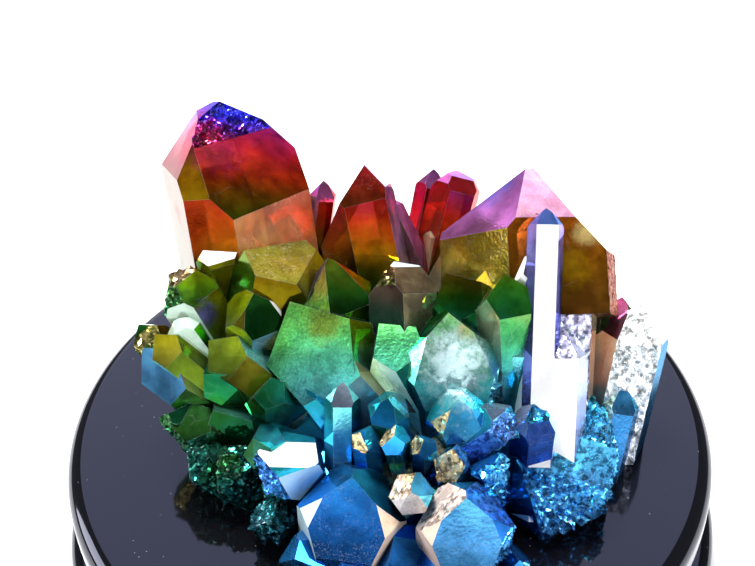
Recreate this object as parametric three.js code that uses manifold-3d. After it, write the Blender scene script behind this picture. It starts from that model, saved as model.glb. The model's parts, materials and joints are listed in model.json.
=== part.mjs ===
// An aura quartz cluster resting on a round lacquered display stand.
// Millimetres, +Z up, the front looks along -Y. The origin is the middle of the stand's underside.
import * as THREE from "three";
import { ConvexGeometry } from "three/addons/geometries/ConvexGeometry.js";
import { mergeVertices } from "three/addons/utils/BufferGeometryUtils.js";
import Module from "manifold-3d";

const wasm = await Module();
wasm.setup();

// ---- driving dimensions -------------------------------------------------------------------

const plateRadius = 57.5;      // the stand's round top plate
const plateThickness = 10;
const plateEdge = 3;           // radius of the plate's rounded rim
const waistRadius = 52;        // the recess under the plate
const waistHeight = 8;
const footRadius = 60;         // the wider ring that the stand rests on
const footHeight = 10;
const footEdge = 2.5;
const standSegments = 64;

const tipSlope = 51.8;         // degrees from a crystal's long axis to a tip face's normal
const seat = 0;                // the cluster's flat underside, on the plate

const standHeight = footHeight + waistHeight + plateThickness;

// ---- helpers ------------------------------------------------------------------------------

const radians = (degrees) => degrees * Math.PI / 180;

// A repeatable stream of numbers from 0 to 1.
function randomFrom(seed) {
  let state = seed >>> 0;
  return () => {
    state = (Math.imul(state, 1664525) + 1013904223) >>> 0;
    return state / 4294967296;
  };
}

function toSolid(geometry) {
  const bare = geometry.index ? geometry.toNonIndexed() : geometry.clone();
  bare.deleteAttribute("normal");
  bare.deleteAttribute("uv");
  const merged = mergeVertices(bare, 1e-5);
  return new wasm.Manifold(new wasm.Mesh({
    numProp: 3,
    vertProperties: new Float32Array(merged.attributes.position.array),
    triVerts: new Uint32Array(merged.index.array),
  }));
}

function toGeometry(solid) {
  const { vertProperties, triVerts, numProp } = solid.getMesh();
  const points = [];
  for (const i of triVerts) {
    points.push(...vertProperties.slice(i * numProp, i * numProp + 3));
  }
  const geometry = new THREE.BufferGeometry();
  geometry.setAttribute("position", new THREE.Float32BufferAttribute(points, 3));
  geometry.computeVertexNormals();
  return geometry;
}

// The turn that stands a crystal at its lean, tipped over towards a compass direction.
// A turn of 0 has side face 0 looking to the front.
function stance({ lean = 0, toward = 90, turn = 0 }) {
  const spin = new THREE.Quaternion().setFromAxisAngle(new THREE.Vector3(0, 0, 1), radians(turn - 90));
  const side = new THREE.Vector3(-Math.sin(radians(toward)), Math.cos(radians(toward)), 0);
  return new THREE.Quaternion().setFromAxisAngle(side, radians(lean)).multiply(spin);
}

// A quartz crystal: six side faces round a long axis, and six tip faces sloping in over them.
// Every second tip face is smaller, as on real quartz, because it stands out by minor.
// big names a tip face that has grown over the others, set in by inset.
// flat squeezes the crystal between side faces 0 and 3, blunt breaks its point off, and pull
// sets single side faces in, or out where it is negative.
function crystal({
  tip, lean, toward, turn, width, length,
  flat = 1, minor = 0.08 * width, big = 0, inset = 0, blunt = 0, pull = {},
}) {
  const point = new THREE.Vector3(...tip);
  const turnTo = stance({ lean, toward, turn });
  const reach = 4 * length;
  let solid = toSolid(new THREE.BoxGeometry(reach, reach, reach)).translate(tip);
  const cut = (normal, distance) => {
    const n = normal.applyQuaternion(turnTo);
    solid = solid.trimByPlane([-n.x, -n.y, -n.z], -(n.dot(point) + distance));
  };
  for (let k = 0; k < 6; k++) {
    const angle = radians(60 * k);
    const out = new THREE.Vector3(Math.cos(angle), Math.sin(angle), 0);
    cut(out.clone(), width / 2 * (k % 3 === 0 ? flat : 1) - (pull[k] ?? 0));
    const sloped = out.multiplyScalar(Math.sin(radians(tipSlope)));
    sloped.z = Math.cos(radians(tipSlope));
    cut(sloped, (k % 2 === big % 2 ? 0 : minor) - (k === big ? inset : 0));
  }
  if (blunt > 0) cut(new THREE.Vector3(0.25, 0, 1).normalize(), -blunt);
  cut(new THREE.Vector3(0, 0, -1), length);
  return solid;
}

// A row of small crystals between two places, each a little different from the next. Each has
// one large tip face, as broken and crowded crystals do.
function row({ from, to, count, width, lean, toward, length, seed }) {
  const random = randomFrom(seed);
  const vary = (size) => size * (2 * random() - 1);
  const start = new THREE.Vector3(...from);
  const end = new THREE.Vector3(...to);
  return Array.from({ length: count }, (_, i) => {
    const at = start.clone().lerp(end, count > 1 ? i / (count - 1) : 0.5);
    const across = width * (1 + vary(0.25));
    return crystal({
      tip: [at.x + vary(1), at.y + vary(1), at.z + vary(1)],
      lean: lean + vary(14), toward: toward + vary(25), turn: 60 * random(),
      width: across, length, flat: 0.75 + 0.25 * random(),
      minor: 0.3 * across, big: Math.floor(6 * random()), inset: 0.3 * across * random(),
    });
  });
}

// A lump of broken matrix: the hull of points scattered on a squashed ball.
function lump({ at, size, seed, points = 22 }) {
  const random = randomFrom(seed);
  const scattered = [];
  for (let i = 0; i < points; i++) {
    const height = 1 - 2 * (i + 0.5) / points;
    const ring = Math.sqrt(1 - height * height);
    const angle = i * 2.39996 + random();
    const reach = 0.88 + 0.2 * random();
    scattered.push(new THREE.Vector3(
      at[0] + size[0] * reach * ring * Math.cos(angle),
      at[1] + size[1] * reach * ring * Math.sin(angle),
      at[2] + size[2] * reach * height));
  }
  return toSolid(new ConvexGeometry(scattered));
}

// ---- the crystals, measured from the middle of the plate's top -----------------------------

// Back: the tall ones, leaning away from the front.
const tallLeft = crystal({
  tip: [-27, 28, 55], lean: 20, toward: 105, turn: -10, width: 24, length: 60,
  minor: 0.5, big: 1, inset: 5, blunt: 5, pull: { 0: -2, 1: 2, 5: 1 },
});
const redMiddle = crystal({
  tip: [-6, 22, 43], lean: 30, toward: 110, turn: 20, width: 13, length: 30, big: 4, inset: 4,
});
const bigRight = crystal({
  tip: [24, 22, 43], lean: 45, toward: 90, turn: 10, width: 25, length: 30,
  flat: 1.1, big: 3, inset: 8, pull: { 1: -3, 2: 4 },
});
const bigRightFoot = crystal({
  tip: [25, 3, 43], lean: 3, toward: 90, turn: 10, width: 22, length: 46,
});
const magentaPoints = [
  crystal({ tip: [10, 30, 34], lean: 25, toward: 60, turn: 10, width: 5, length: 20 }),
  crystal({ tip: [15, 27, 37], lean: 35, toward: 60, turn: 10, width: 8, length: 22, blunt: 2 }),
  crystal({ tip: [1, 22, 34], lean: 35, toward: 135, turn: -10, width: 4, length: 16 }),
  crystal({ tip: [-10, 26, 35], lean: 20, toward: 60, turn: 20, width: 5, length: 20 }),
  crystal({ tip: [10, 20, 29], lean: 35, toward: 80, turn: 0, width: 4, length: 12 }),
  crystal({ tip: [41, 5, 23], lean: 30, toward: 70, turn: -15, width: 5, length: 18 }),
];

// Middle: the green ones, with their points between the tall ones' feet.
const greenPoint = crystal({
  tip: [-9, 2, 36], lean: 15, toward: 120, turn: 30, width: 12, length: 26, minor: 0.5,
});
const greyPink = crystal({
  tip: [3, 3, 36], lean: 40, toward: 90, turn: 30, width: 11, length: 26, blunt: 2,
});
const darkGreen = crystal({
  tip: [10, -3, 36], lean: 30, toward: 150, turn: 10, width: 10, length: 26, minor: 3,
});
const brightTeal = crystal({
  tip: [10, -12, 35], lean: 5, toward: -90, turn: 5, width: 17, length: 34, minor: 1,
  inset: 1,
});
const greenRight = crystal({
  tip: [19, -6, 38], lean: 15, toward: 100, turn: 15, width: 9, length: 34, minor: 2,
});
const whiteWedge = crystal({
  tip: [23, -3, 39], lean: 15, toward: 100, turn: 40, width: 6, length: 30, minor: 2,
});
const tealRight = crystal({
  tip: [22, -10, 30], lean: 12, toward: 70, turn: 0, width: 6, length: 30, minor: 2,
});
const bladeFoot = crystal({
  tip: [27, -9, 30], lean: 30, toward: 84, turn: 0, width: 10, length: 32, flat: 0.8,
});
const etchedFoot = crystal({
  tip: [30, -2, 34], lean: 24, toward: 85, turn: 10, width: 9, length: 34, minor: 2,
  blunt: 2,
});
const whiteBlade = crystal({
  tip: [26, 0, 46], lean: 35, toward: 84, turn: 0, width: 5, length: 41, flat: 0.8,
});
const oliveLeft = crystal({
  tip: [-24, 6, 39], lean: 30, toward: 165, turn: 10, width: 16, length: 42, minor: 3,
  big: 3, inset: 4,
});
const oliveTop = crystal({
  tip: [-28, 7, 38], lean: 8, toward: 160, turn: 15, width: 7, length: 28, blunt: 3,
});
const oliveStrip = crystal({
  tip: [-16, 7, 32], lean: 35, toward: 120, turn: 15, width: 11, length: 28, big: 0, inset: 2,
});
const oliveRim = crystal({
  tip: [-35, 4, 34], lean: 30, toward: 150, turn: 45, width: 10, length: 34, blunt: 2,
});
const mintFace = crystal({
  tip: [-35, -1, 30], lean: 30, toward: 160, turn: 0, width: 7, length: 30, big: 3, inset: 3,
});
const goldRidge = crystal({
  tip: [-42, 1, 24], lean: 35, toward: 175, turn: 20, width: 6, length: 28, minor: 2, blunt: 1,
});
const yellowLeft = crystal({
  tip: [-38, -4, 26], lean: 45, toward: 165, turn: 10, width: 7, length: 30, minor: 2,
});
const blueLeft = crystal({
  tip: [-42, -6, 24], lean: 50, toward: 175, turn: 0, width: 8, length: 30, inset: 3,
});
const greenSquare = crystal({
  tip: [-21, -4, 34], lean: 10, toward: -60, turn: 30, width: 9, length: 28, minor: 1,
});
const greenBroad = crystal({
  tip: [-16, -5, 33], lean: 35, toward: 155, turn: 0, width: 17, length: 32, minor: 5,
  inset: 2,
});
const greenLow = crystal({
  tip: [-12, -11, 28], lean: 40, toward: 160, turn: 20, width: 11, length: 28, minor: 4,
});
const greenWedge = crystal({
  tip: [-29, -6, 26], lean: 50, toward: 165, turn: 20, width: 9, length: 32, minor: 3,
});
const paleFacet = crystal({
  tip: [-1, -9, 31], lean: 30, toward: 150, turn: 30, width: 10, length: 26, minor: 3,
});

// Front: teal and blue, short, and leaning to the front.
const tealPrism = crystal({
  tip: [-7, -18, 27], lean: 15, toward: 80, turn: 0, width: 5, length: 24,
});
const bluePeak = crystal({
  tip: [0, -22, 27], lean: 15, toward: -90, turn: -20, width: 6, length: 24,
});
const darkWedge = crystal({
  tip: [11, -23, 27], lean: 20, toward: -90, turn: 5, width: 9, length: 24,
});
const mirrorTop = crystal({
  tip: [-17, -28, 19], lean: 45, toward: -100, turn: -15, width: 10, length: 20, big: 3, inset: 2,
});
const bigBlue = crystal({
  tip: [-6, -33, 21], lean: 10, toward: -80, turn: -10, width: 15, length: 24, inset: 1,
});
const goldStrip = crystal({
  tip: [3, -36, 21], lean: 40, toward: -90, turn: 5, width: 6, length: 24,
});
const frontFace = crystal({
  tip: [11, -38, 21], lean: 15, toward: -90, turn: 0, width: 13, length: 24, inset: 1,
});
const blueBlock = crystal({
  tip: [23, -22, 24], lean: 5, toward: -90, turn: 10, width: 7, length: 22, blunt: 1.5,
});
const violetRough = crystal({
  tip: [20, -21, 23], lean: 55, toward: 10, turn: 0, width: 7, length: 20, blunt: 1,
});

// Right edge: the frosted slab and the blue prism in front of it.
const frostedSlab = crystal({
  tip: [43, 0, 26], lean: 20, toward: 60, turn: 0, width: 11, length: 34, flat: 0.8, blunt: 1.5,
});
const bluePrism = crystal({
  tip: [40, -8, 14], lean: 25, toward: 60, turn: 0, width: 6, length: 20,
});

// The small crystals that crowd the edges and the gaps.
const smallOnes = [
  // the left edge, from yellow at the top to dark green at the foot
  ...row({
    from: [-37, -12, 17], to: [-35, -16, 12], count: 3, width: 8, lean: 45, toward: 205,
    length: 20, seed: 4,
  }),
  ...row({
    from: [-29, -12, 24], to: [-30, -19, 12], count: 3, width: 8, lean: 50, toward: 215,
    length: 20, seed: 9,
  }),
  ...row({
    from: [-22, -16, 24], to: [-20, -30, 9], count: 4, width: 8, lean: 40, toward: 240,
    length: 20, seed: 14,
  }),
  // the gaps between the blue ones in the middle
  ...row({
    from: [-3, -25, 24], to: [14, -29, 21], count: 5, width: 5, lean: 15, toward: 265,
    length: 20, seed: 21,
  }),
  // the back, under the tall ones
  ...row({
    from: [-10, 27, 15], to: [22, 30, 14], count: 5, width: 8, lean: 50, toward: 85,
    length: 22, seed: 52,
  }),
  // the front foot
  ...row({
    from: [-16, -40, 9], to: [14, -43, 9], count: 5, width: 9, lean: 55, toward: 268,
    length: 18, seed: 38,
  }),
];

// The broken matrix that the crystals grew from.
const matrix = [
  lump({ at: [-14, 0, 8], size: [24, 20, 13], seed: 3 }),
  lump({ at: [14, -2, 8], size: [26, 22, 12], seed: 8 }),
  lump({ at: [2, -20, 6], size: [20, 17, 9], seed: 5 }),
  lump({ at: [26, -13, 6], size: [13, 17, 12], seed: 6, points: 40 }),
  lump({ at: [2, 14, 5], size: [28, 14, 10], seed: 19, points: 30 }),
];

const crystals = [
  tallLeft, redMiddle, bigRight, bigRightFoot, ...magentaPoints,
  greenPoint, greyPink, darkGreen, brightTeal, greenRight, whiteWedge, tealRight, whiteBlade,
  bladeFoot, etchedFoot, oliveLeft, oliveTop, oliveStrip, oliveRim, mintFace, goldRidge,
  yellowLeft, blueLeft, greenSquare, greenBroad, greenLow, greenWedge, paleFacet,
  tealPrism, bluePeak, darkWedge, mirrorTop, bigBlue, goldStrip, frontFace,
  blueBlock, violetRough, frostedSlab, bluePrism, ...smallOnes,
];

function cluster() {
  const grown = wasm.Manifold.union([...crystals, ...matrix]);
  return grown.trimByPlane([0, 0, 1], seat);
}

// ---- the stand ----------------------------------------------------------------------------

// The stand's half section, from the middle of its underside up to the middle of its top: a foot
// with a rounded edge, a recess, and the plate with its rounded rim.
function standSection() {
  const section = [new THREE.Vector2(0, 0)];
  const round = (radius, height, edge, from) => {
    for (const step of [0, 30, 60, 90]) {
      const angle = radians(from + step);
      const out = radius - edge + edge * Math.cos(angle);
      section.push(new THREE.Vector2(out, height + edge * Math.sin(angle)));
    }
  };
  round(footRadius, footEdge, footEdge, -90);
  round(footRadius, footHeight - footEdge, footEdge, 0);
  section.push(new THREE.Vector2(waistRadius, footHeight));
  section.push(new THREE.Vector2(waistRadius, footHeight + waistHeight));
  round(plateRadius, footHeight + waistHeight + plateEdge, plateEdge, -90);
  round(plateRadius, standHeight - plateEdge, plateEdge, 0);
  section.push(new THREE.Vector2(0, standHeight));
  return section;
}

// ---- the assembly -------------------------------------------------------------------------

const lacquer = new THREE.MeshStandardMaterial({ color: 0x0b0b0e, roughness: 0.08, metalness: 0 });
const standShape = new THREE.LatheGeometry(standSection(), standSegments);
const stand = new THREE.Mesh(standShape.rotateX(Math.PI / 2), lacquer);
stand.name = "display_stand";

const quartz = new THREE.MeshStandardMaterial({ color: 0x4f8f7a, roughness: 0.12, metalness: 0 });
const clusterMesh = new THREE.Mesh(toGeometry(cluster()), quartz);
clusterMesh.name = "quartz_cluster";
clusterMesh.position.z = standHeight;

const part = new THREE.Group();
part.add(stand, clusterMesh);

export default part;
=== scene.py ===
# %% [markdown]
# # An aura quartz cluster on a lacquered stand
# Quartz points that grew together from one broken base, coated with a film of metal so thin that
# it shows as a rainbow. The cluster rests on a round stand of black lacquer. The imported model
# gives every size, so the first step is to load it and to keep its box.

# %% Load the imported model
import json
import math
import random

import bpy
from mathutils import Matrix, Vector

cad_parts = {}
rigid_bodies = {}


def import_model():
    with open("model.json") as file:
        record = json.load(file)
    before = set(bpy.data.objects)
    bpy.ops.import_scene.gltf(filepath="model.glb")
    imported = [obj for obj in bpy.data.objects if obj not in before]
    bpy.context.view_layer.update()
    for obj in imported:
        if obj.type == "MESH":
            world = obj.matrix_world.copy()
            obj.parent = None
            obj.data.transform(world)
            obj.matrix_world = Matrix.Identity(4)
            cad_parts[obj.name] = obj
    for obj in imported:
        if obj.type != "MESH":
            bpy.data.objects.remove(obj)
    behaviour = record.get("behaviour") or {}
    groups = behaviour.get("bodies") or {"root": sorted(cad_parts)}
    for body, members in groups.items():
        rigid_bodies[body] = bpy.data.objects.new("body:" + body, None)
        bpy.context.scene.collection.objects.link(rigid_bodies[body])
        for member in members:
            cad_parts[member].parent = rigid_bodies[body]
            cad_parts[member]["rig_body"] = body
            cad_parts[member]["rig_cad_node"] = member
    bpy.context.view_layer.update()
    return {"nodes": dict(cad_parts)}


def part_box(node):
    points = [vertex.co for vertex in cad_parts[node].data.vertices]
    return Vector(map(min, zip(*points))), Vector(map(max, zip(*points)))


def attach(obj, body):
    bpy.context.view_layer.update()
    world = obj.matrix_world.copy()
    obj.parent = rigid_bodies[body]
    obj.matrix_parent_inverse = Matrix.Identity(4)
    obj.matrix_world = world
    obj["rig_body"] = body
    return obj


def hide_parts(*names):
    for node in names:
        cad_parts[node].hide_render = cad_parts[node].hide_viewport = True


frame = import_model()

MM = 0.001
stand_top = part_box("display_stand")[1].z
print("stand's top in mm:", round(stand_top / MM, 1))


# %% [markdown]
# ## Small helpers
# Colours are written as they look on a screen, and Blender works with linear light, so one
# function turns the first into the second. Operators act on whatever is selected, so each piece
# starts by deselecting everything. Materials are built from nodes, and one function adds them all.

# %% Colours
def linear(hex_colour):
    """A colour such as "2f6fb0" as linear red, green, blue and alpha."""
    channels = [int(hex_colour[i:i + 2], 16) / 255 for i in (0, 2, 4)]
    bent = [c / 12.92 if c <= 0.04045 else ((c + 0.055) / 1.055) ** 2.4 for c in channels]
    return (*bent, 1.0)


# %% Selection
def only(piece):
    """Selects this object and nothing else, and makes it the active one."""
    bpy.ops.object.select_all(action="DESELECT")
    piece.select_set(True)
    bpy.context.view_layer.objects.active = piece


def deselect_mesh(element):
    """Deselects the active piece's whole mesh, and picks this element, "EDGE" or "FACE"."""
    bpy.ops.object.mode_set(mode="EDIT")
    bpy.ops.mesh.select_mode(type=element)
    bpy.ops.mesh.select_all(action="DESELECT")
    bpy.ops.object.mode_set(mode="OBJECT")


# %% Nodes
def shown_output(node):
    """The first output that a node shows: a Mix node hides those of other kinds of data."""
    return next(output for output in node.outputs if output.enabled)


def add_node(tree, kind, inputs=(), **settings):
    """Adds a node with its settings. Its inputs come in their order or by name, and each is
    a value, or a socket or node to link."""
    node = tree.nodes.new("ShaderNode" + kind)
    for name, value in settings.items():
        setattr(node, name, value)
    sockets = [socket for socket in node.inputs if socket.enabled]
    if isinstance(inputs, dict):
        sockets = [node.inputs[name] for name in inputs]
        inputs = inputs.values()
    for socket, value in zip(sockets, inputs):
        if isinstance(value, bpy.types.Node):
            value = shown_output(value)
        if isinstance(value, bpy.types.NodeSocket):
            tree.links.new(value, socket)
        else:
            socket.default_value = value
    return node


def new_material(name):
    """A node material, with its tree and its Principled shader."""
    material = bpy.data.materials.new(name)
    material.use_nodes = True
    tree = material.node_tree
    return material, tree, tree.nodes["Principled BSDF"]


# %% [markdown]
# ## Camera
# The cluster is seen from the front and well above, through a long lens, and the camera is turned
# by two degrees. It looks at a point over the plate, in the middle of the crystals.

# %% Camera
lens = 60
sensor = 36
camera_elevation = math.radians(39)
camera_roll = math.radians(2)
camera_distance = 207 * MM
camera_target = Vector((-1 * MM, 0, stand_top + 32 * MM))

backwards = Vector((0, -math.cos(camera_elevation), math.sin(camera_elevation)))
bpy.ops.object.camera_add(location=camera_target + camera_distance * backwards)
camera = bpy.context.object
camera.rotation_mode = "ZYX"
camera.rotation_euler = (math.pi / 2 - camera_elevation, 0, -camera_roll)
camera.data.lens = lens
camera.data.sensor_width = sensor
camera.data.clip_start = MM
bpy.context.scene.camera = camera
print("camera in mm:", [round(part / MM) for part in camera.location])

# %% [markdown]
# ## Floor and light
# Glossy faces show what is round them. A dim, slightly blue room with a strong lamp above and
# another behind gives the faces that look up their white glare, and leaves the ones that look
# down in deep colour. A bright room would be simpler, but it would wash the colours out.

# %% Floor
floor_size = 6
bpy.ops.mesh.primitive_plane_add(size=floor_size)
floor = bpy.context.object
floor.name = "floor"
floor_material, tree, shader = new_material("white_paper")
shader.inputs["Base Color"].default_value = linear("fdfdfd")
shader.inputs["Roughness"].default_value = 0.9
floor.data.materials.append(floor_material)
print("floor in metres:", floor_size)

# %% Room
room_light = 0.18
world = bpy.data.worlds.new("dim_room")
bpy.context.scene.world = world
world.use_nodes = True
world_light = world.node_tree.nodes["Background"]
world_light.inputs["Color"].default_value = linear("eef2fb")
world_light.inputs["Strength"].default_value = room_light
bpy.context.scene.view_settings.view_transform = "Standard"
print("room's light:", room_light)


# %% Lamps
def over_plate(place):
    """A place in millimetres over the middle of the plate, in the model's own metres."""
    return Vector(place) * MM + Vector((0, 0, stand_top))


def add_lamp(name, place, size, power, colour="ffffff"):
    """A square soft lamp, its place and size in millimetres, aimed at the cluster."""
    spot = over_plate(place)
    bpy.ops.object.light_add(type="AREA", location=spot)
    lamp = bpy.context.object
    lamp.name = name
    lamp.data.size = size * MM
    lamp.data.energy = power
    lamp.data.color = linear(colour)[:3]
    lamp.rotation_euler = (camera_target - spot).to_track_quat("-Z", "Y").to_euler()
    print(name, "in watts:", power)


add_lamp("sky_lamp", (0, 700, 480), 900, 5, "dfe6ff")
add_lamp("top_lamp", (-100, 200, 900), 260, 15)
add_lamp("left_lamp", (-700, 100, 300), 400, 5)
add_lamp("front_lamp", (420, -300, 300), 160, 1.8)

# %% [markdown]
# ## The stand
# A turned wooden stand: a foot, a recess and a plate, lacquered black. A profile could be spun
# round, but with only four rims it is quicker to start from a short cylinder, and to draw the
# recess and the plate up out of its top face by inset and extrude.

# %% Turn the stand
foot_radius = 60 * MM
foot_height = 10 * MM
waist_radius = 52 * MM
waist_height = 8 * MM
plate_radius = 57.5 * MM
plate_bottom = foot_height + waist_height
turned_steps = 192

bpy.ops.object.select_all(action="DESELECT")
bpy.ops.mesh.primitive_cylinder_add(
    vertices=turned_steps, radius=foot_radius, depth=foot_height, location=(0, 0, foot_height / 2))
stand = bpy.context.object
stand.name = "lacquered_stand"
bpy.ops.object.transform_apply(location=True)
deselect_mesh("FACE")
max(stand.data.polygons, key=lambda face: face.center.z + face.normal.z).select = True
bpy.ops.object.mode_set(mode="EDIT")
bpy.ops.mesh.inset(thickness=foot_radius - waist_radius)
bpy.ops.mesh.extrude_region_move(TRANSFORM_OT_translate={"value": (0, 0, waist_height)})
bpy.ops.mesh.extrude_region_move(TRANSFORM_OT_translate={"value": (0, 0, 0)})
widen = plate_radius / waist_radius
bpy.ops.transform.resize(value=(widen, widen, 1), center_override=(0, 0, stand_top))
plate_thickness = stand_top - foot_height - waist_height
bpy.ops.mesh.extrude_region_move(TRANSFORM_OT_translate={"value": (0, 0, plate_thickness)})
bpy.ops.object.mode_set(mode="OBJECT")
print("plate in mm:", round(plate_thickness / MM, 1))


# %% Round the rims
plate_edge = 3 * MM
foot_edge = 2.5 * MM
edge_steps = 8
near_enough = 0.01 * MM
smooth_angle = math.radians(40)


def on_rim(vertex, radius, height):
    """Whether a point of the stand lies on the rim at this radius and height."""
    out = math.hypot(vertex.co.x, vertex.co.y)
    return abs(out - radius) < near_enough and abs(vertex.co.z - height) < near_enough


for radius, height, width in (
        (plate_radius, stand_top, plate_edge), (plate_radius, plate_bottom, plate_edge),
        (foot_radius, foot_height, foot_edge), (foot_radius, 0, foot_edge)):
    deselect_mesh("EDGE")
    points = stand.data.vertices
    for edge in stand.data.edges:
        edge.select = all(on_rim(points[v], radius, height) for v in edge.vertices)
    bpy.ops.object.mode_set(mode="EDIT")
    bpy.ops.mesh.bevel(offset=width, segments=edge_steps, affect="EDGES")
    bpy.ops.object.mode_set(mode="OBJECT")
bpy.ops.object.shade_smooth_by_angle(angle=smooth_angle)
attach(stand, "root")
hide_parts("display_stand")
print("stand faces:", len(stand.data.polygons))

# %% [markdown]
# ### Black lacquer
# Sprayed and polished lacquer: black under a clear film, so the only thing to see is the film's
# slightly blue reflection, with a few specks of dust lying on it. Noise would give even grains,
# so the specks are the very middles of a Voronoi pattern's cells, which lie further apart.

# %% Black lacquer
dust_spacing = 2.2 * MM
dust_size = 0.045
lacquer, tree, shader = new_material("polished_black_lacquer")
shader.inputs["Roughness"].default_value = 0.07
shader.inputs["IOR"].default_value = 1.5
shader.inputs["Specular Tint"].default_value = linear("c8ccee")
place = add_node(tree, "TexCoord").outputs["Object"]
dust = add_node(tree, "TexVoronoi", (place, 1 / dust_spacing), feature="F1")
speck = add_node(tree, "Math", (dust, dust_size), operation="LESS_THAN")
lacquer_colour = add_node(tree, "Mix", (speck, linear("0a0a0d"), linear("6d7078")),
                          data_type="RGBA")
tree.links.new(shown_output(lacquer_colour), shader.inputs["Base Color"])
stand.data.materials.append(lacquer)
print("lacquer nodes:", len(tree.nodes))

# %% [markdown]
# ## The cluster
# The solid model holds the cluster's flat faces. Modelling each crystal again would move them, so
# a copy of the solid is cleaned instead: the triangles that lie in one plane are joined back into
# one crystal face, so that each face can have a character of its own.

# %% Copy the solid and find its crystal faces
merge_distance = 0.001 * MM
flat_within = math.radians(0.4)
only(frame["nodes"]["quartz_cluster"])
bpy.ops.object.duplicate()
cluster = bpy.context.object
cluster.name = "aura_quartz"
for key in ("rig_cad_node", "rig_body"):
    if key in cluster:
        del cluster[key]
cluster.parent = None
bpy.ops.object.mode_set(mode="EDIT")
bpy.ops.mesh.select_all(action="SELECT")
bpy.ops.mesh.remove_doubles(threshold=merge_distance)
bpy.ops.mesh.dissolve_limited(angle_limit=flat_within)
bpy.ops.object.mode_set(mode="OBJECT")
cluster.data.materials.clear()
print("crystal faces:", len(cluster.data.polygons))

# %% [markdown]
# ### The crystals that stand out
# Quartz has six side faces round its long axis, and six tip faces that slope in over them. Each
# crystal here has its point in millimetres over the plate, its lean in degrees, the compass
# direction that it leans towards, its turn about its axis, its width and its length, all as in
# the solid model. Faces could be picked by their numbers in the mesh, but these change with every
# cut. So a face is found by where it must be: its number counts anticlockwise, seen from above,
# from the face that looks to the front.

# %% Crystals by name
crystals = {
    "tall_left": ((-27, 28, 55), 20, 105, -10, 24, 60),
    "red_middle": ((-6, 22, 43), 30, 110, 20, 13, 30),
    "big_right": ((24, 22, 43), 45, 90, 10, 25, 30),
    "big_right_foot": ((25, 3, 43), 3, 90, 10, 22, 46),
    "pink_left": ((-10, 26, 35), 20, 60, 20, 5, 20),
    "pink_thin": ((10, 30, 34), 25, 60, 10, 5, 20),
    "pink_thick": ((15, 27, 37), 35, 60, 10, 8, 22),
    "pink_slanted": ((1, 22, 34), 35, 135, -10, 4, 16),
    "pink_short": ((10, 20, 29), 35, 80, 0, 4, 12),
    "pink_right": ((41, 5, 23), 30, 70, -15, 5, 18),
    "green_point": ((-9, 2, 36), 15, 120, 30, 12, 26),
    "grey_pink": ((3, 3, 36), 40, 90, 30, 11, 26),
    "dark_green": ((10, -3, 36), 30, 150, 10, 10, 26),
    "bright_teal": ((10, -12, 35), 5, -90, 5, 17, 34),
    "green_right": ((19, -6, 38), 15, 100, 15, 9, 34),
    "white_wedge": ((23, -3, 39), 15, 100, 40, 6, 30),
    "teal_right": ((22, -10, 30), 12, 70, 0, 6, 30),
    "blade_foot": ((27, -9, 30), 30, 84, 0, 10, 32),
    "etched_foot": ((30, -2, 34), 24, 85, 10, 9, 34),
    "white_blade": ((26, 0, 46), 35, 84, 0, 5, 41),
    "olive_left": ((-24, 6, 39), 30, 165, 10, 16, 42),
    "olive_top": ((-28, 7, 38), 8, 160, 15, 7, 28),
    "olive_rim": ((-35, 4, 34), 30, 150, 45, 10, 34),
    "mint_face": ((-35, -1, 30), 30, 160, 0, 7, 30),
    "gold_ridge": ((-42, 1, 24), 35, 175, 20, 6, 28),
    "yellow_left": ((-38, -4, 26), 45, 165, 10, 7, 30),
    "blue_left": ((-42, -6, 24), 50, 175, 0, 8, 30),
    "green_square": ((-21, -4, 34), 10, -60, 30, 9, 28),
    "green_broad": ((-16, -5, 33), 35, 155, 0, 17, 32),
    "green_low": ((-12, -11, 28), 40, 160, 20, 11, 28),
    "green_wedge": ((-29, -6, 26), 50, 165, 20, 9, 32),
    "pale_facet": ((-1, -9, 31), 30, 150, 30, 10, 26),
    "teal_prism": ((-7, -18, 27), 15, 80, 0, 5, 24),
    "blue_peak": ((0, -22, 27), 15, -90, -20, 6, 24),
    "dark_wedge": ((11, -23, 27), 20, -90, 5, 9, 24),
    "mirror_top": ((-17, -28, 19), 45, -100, -15, 10, 20),
    "big_blue": ((-6, -33, 21), 10, -80, -10, 15, 24),
    "gold_strip": ((3, -36, 21), 40, -90, 5, 6, 24),
    "front_face": ((11, -38, 21), 15, -90, 0, 13, 24),
    "blue_block": ((23, -22, 24), 5, -90, 10, 7, 22),
    "violet_rough": ((20, -21, 23), 55, 10, 0, 7, 20),
    "frosted_slab": ((43, 0, 26), 20, 60, 0, 11, 34),
    "blue_prism": ((40, -8, 14), 25, 60, 0, 6, 20),
}
print("crystals by name:", len(crystals))


# %% Find a crystal's faces
tip_slope = math.radians(51.8)
side_turn = 60
to_the_front = -90
tolerance = math.radians(1.2)
tiny = 1e-12


def off_line(point, start, end):
    """How far a point is from the line between two others."""
    along_line = end - start
    share = (point - start).dot(along_line) / max(along_line.length_squared, tiny)
    return (point - start - along_line * min(1, max(0, share))).length


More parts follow.
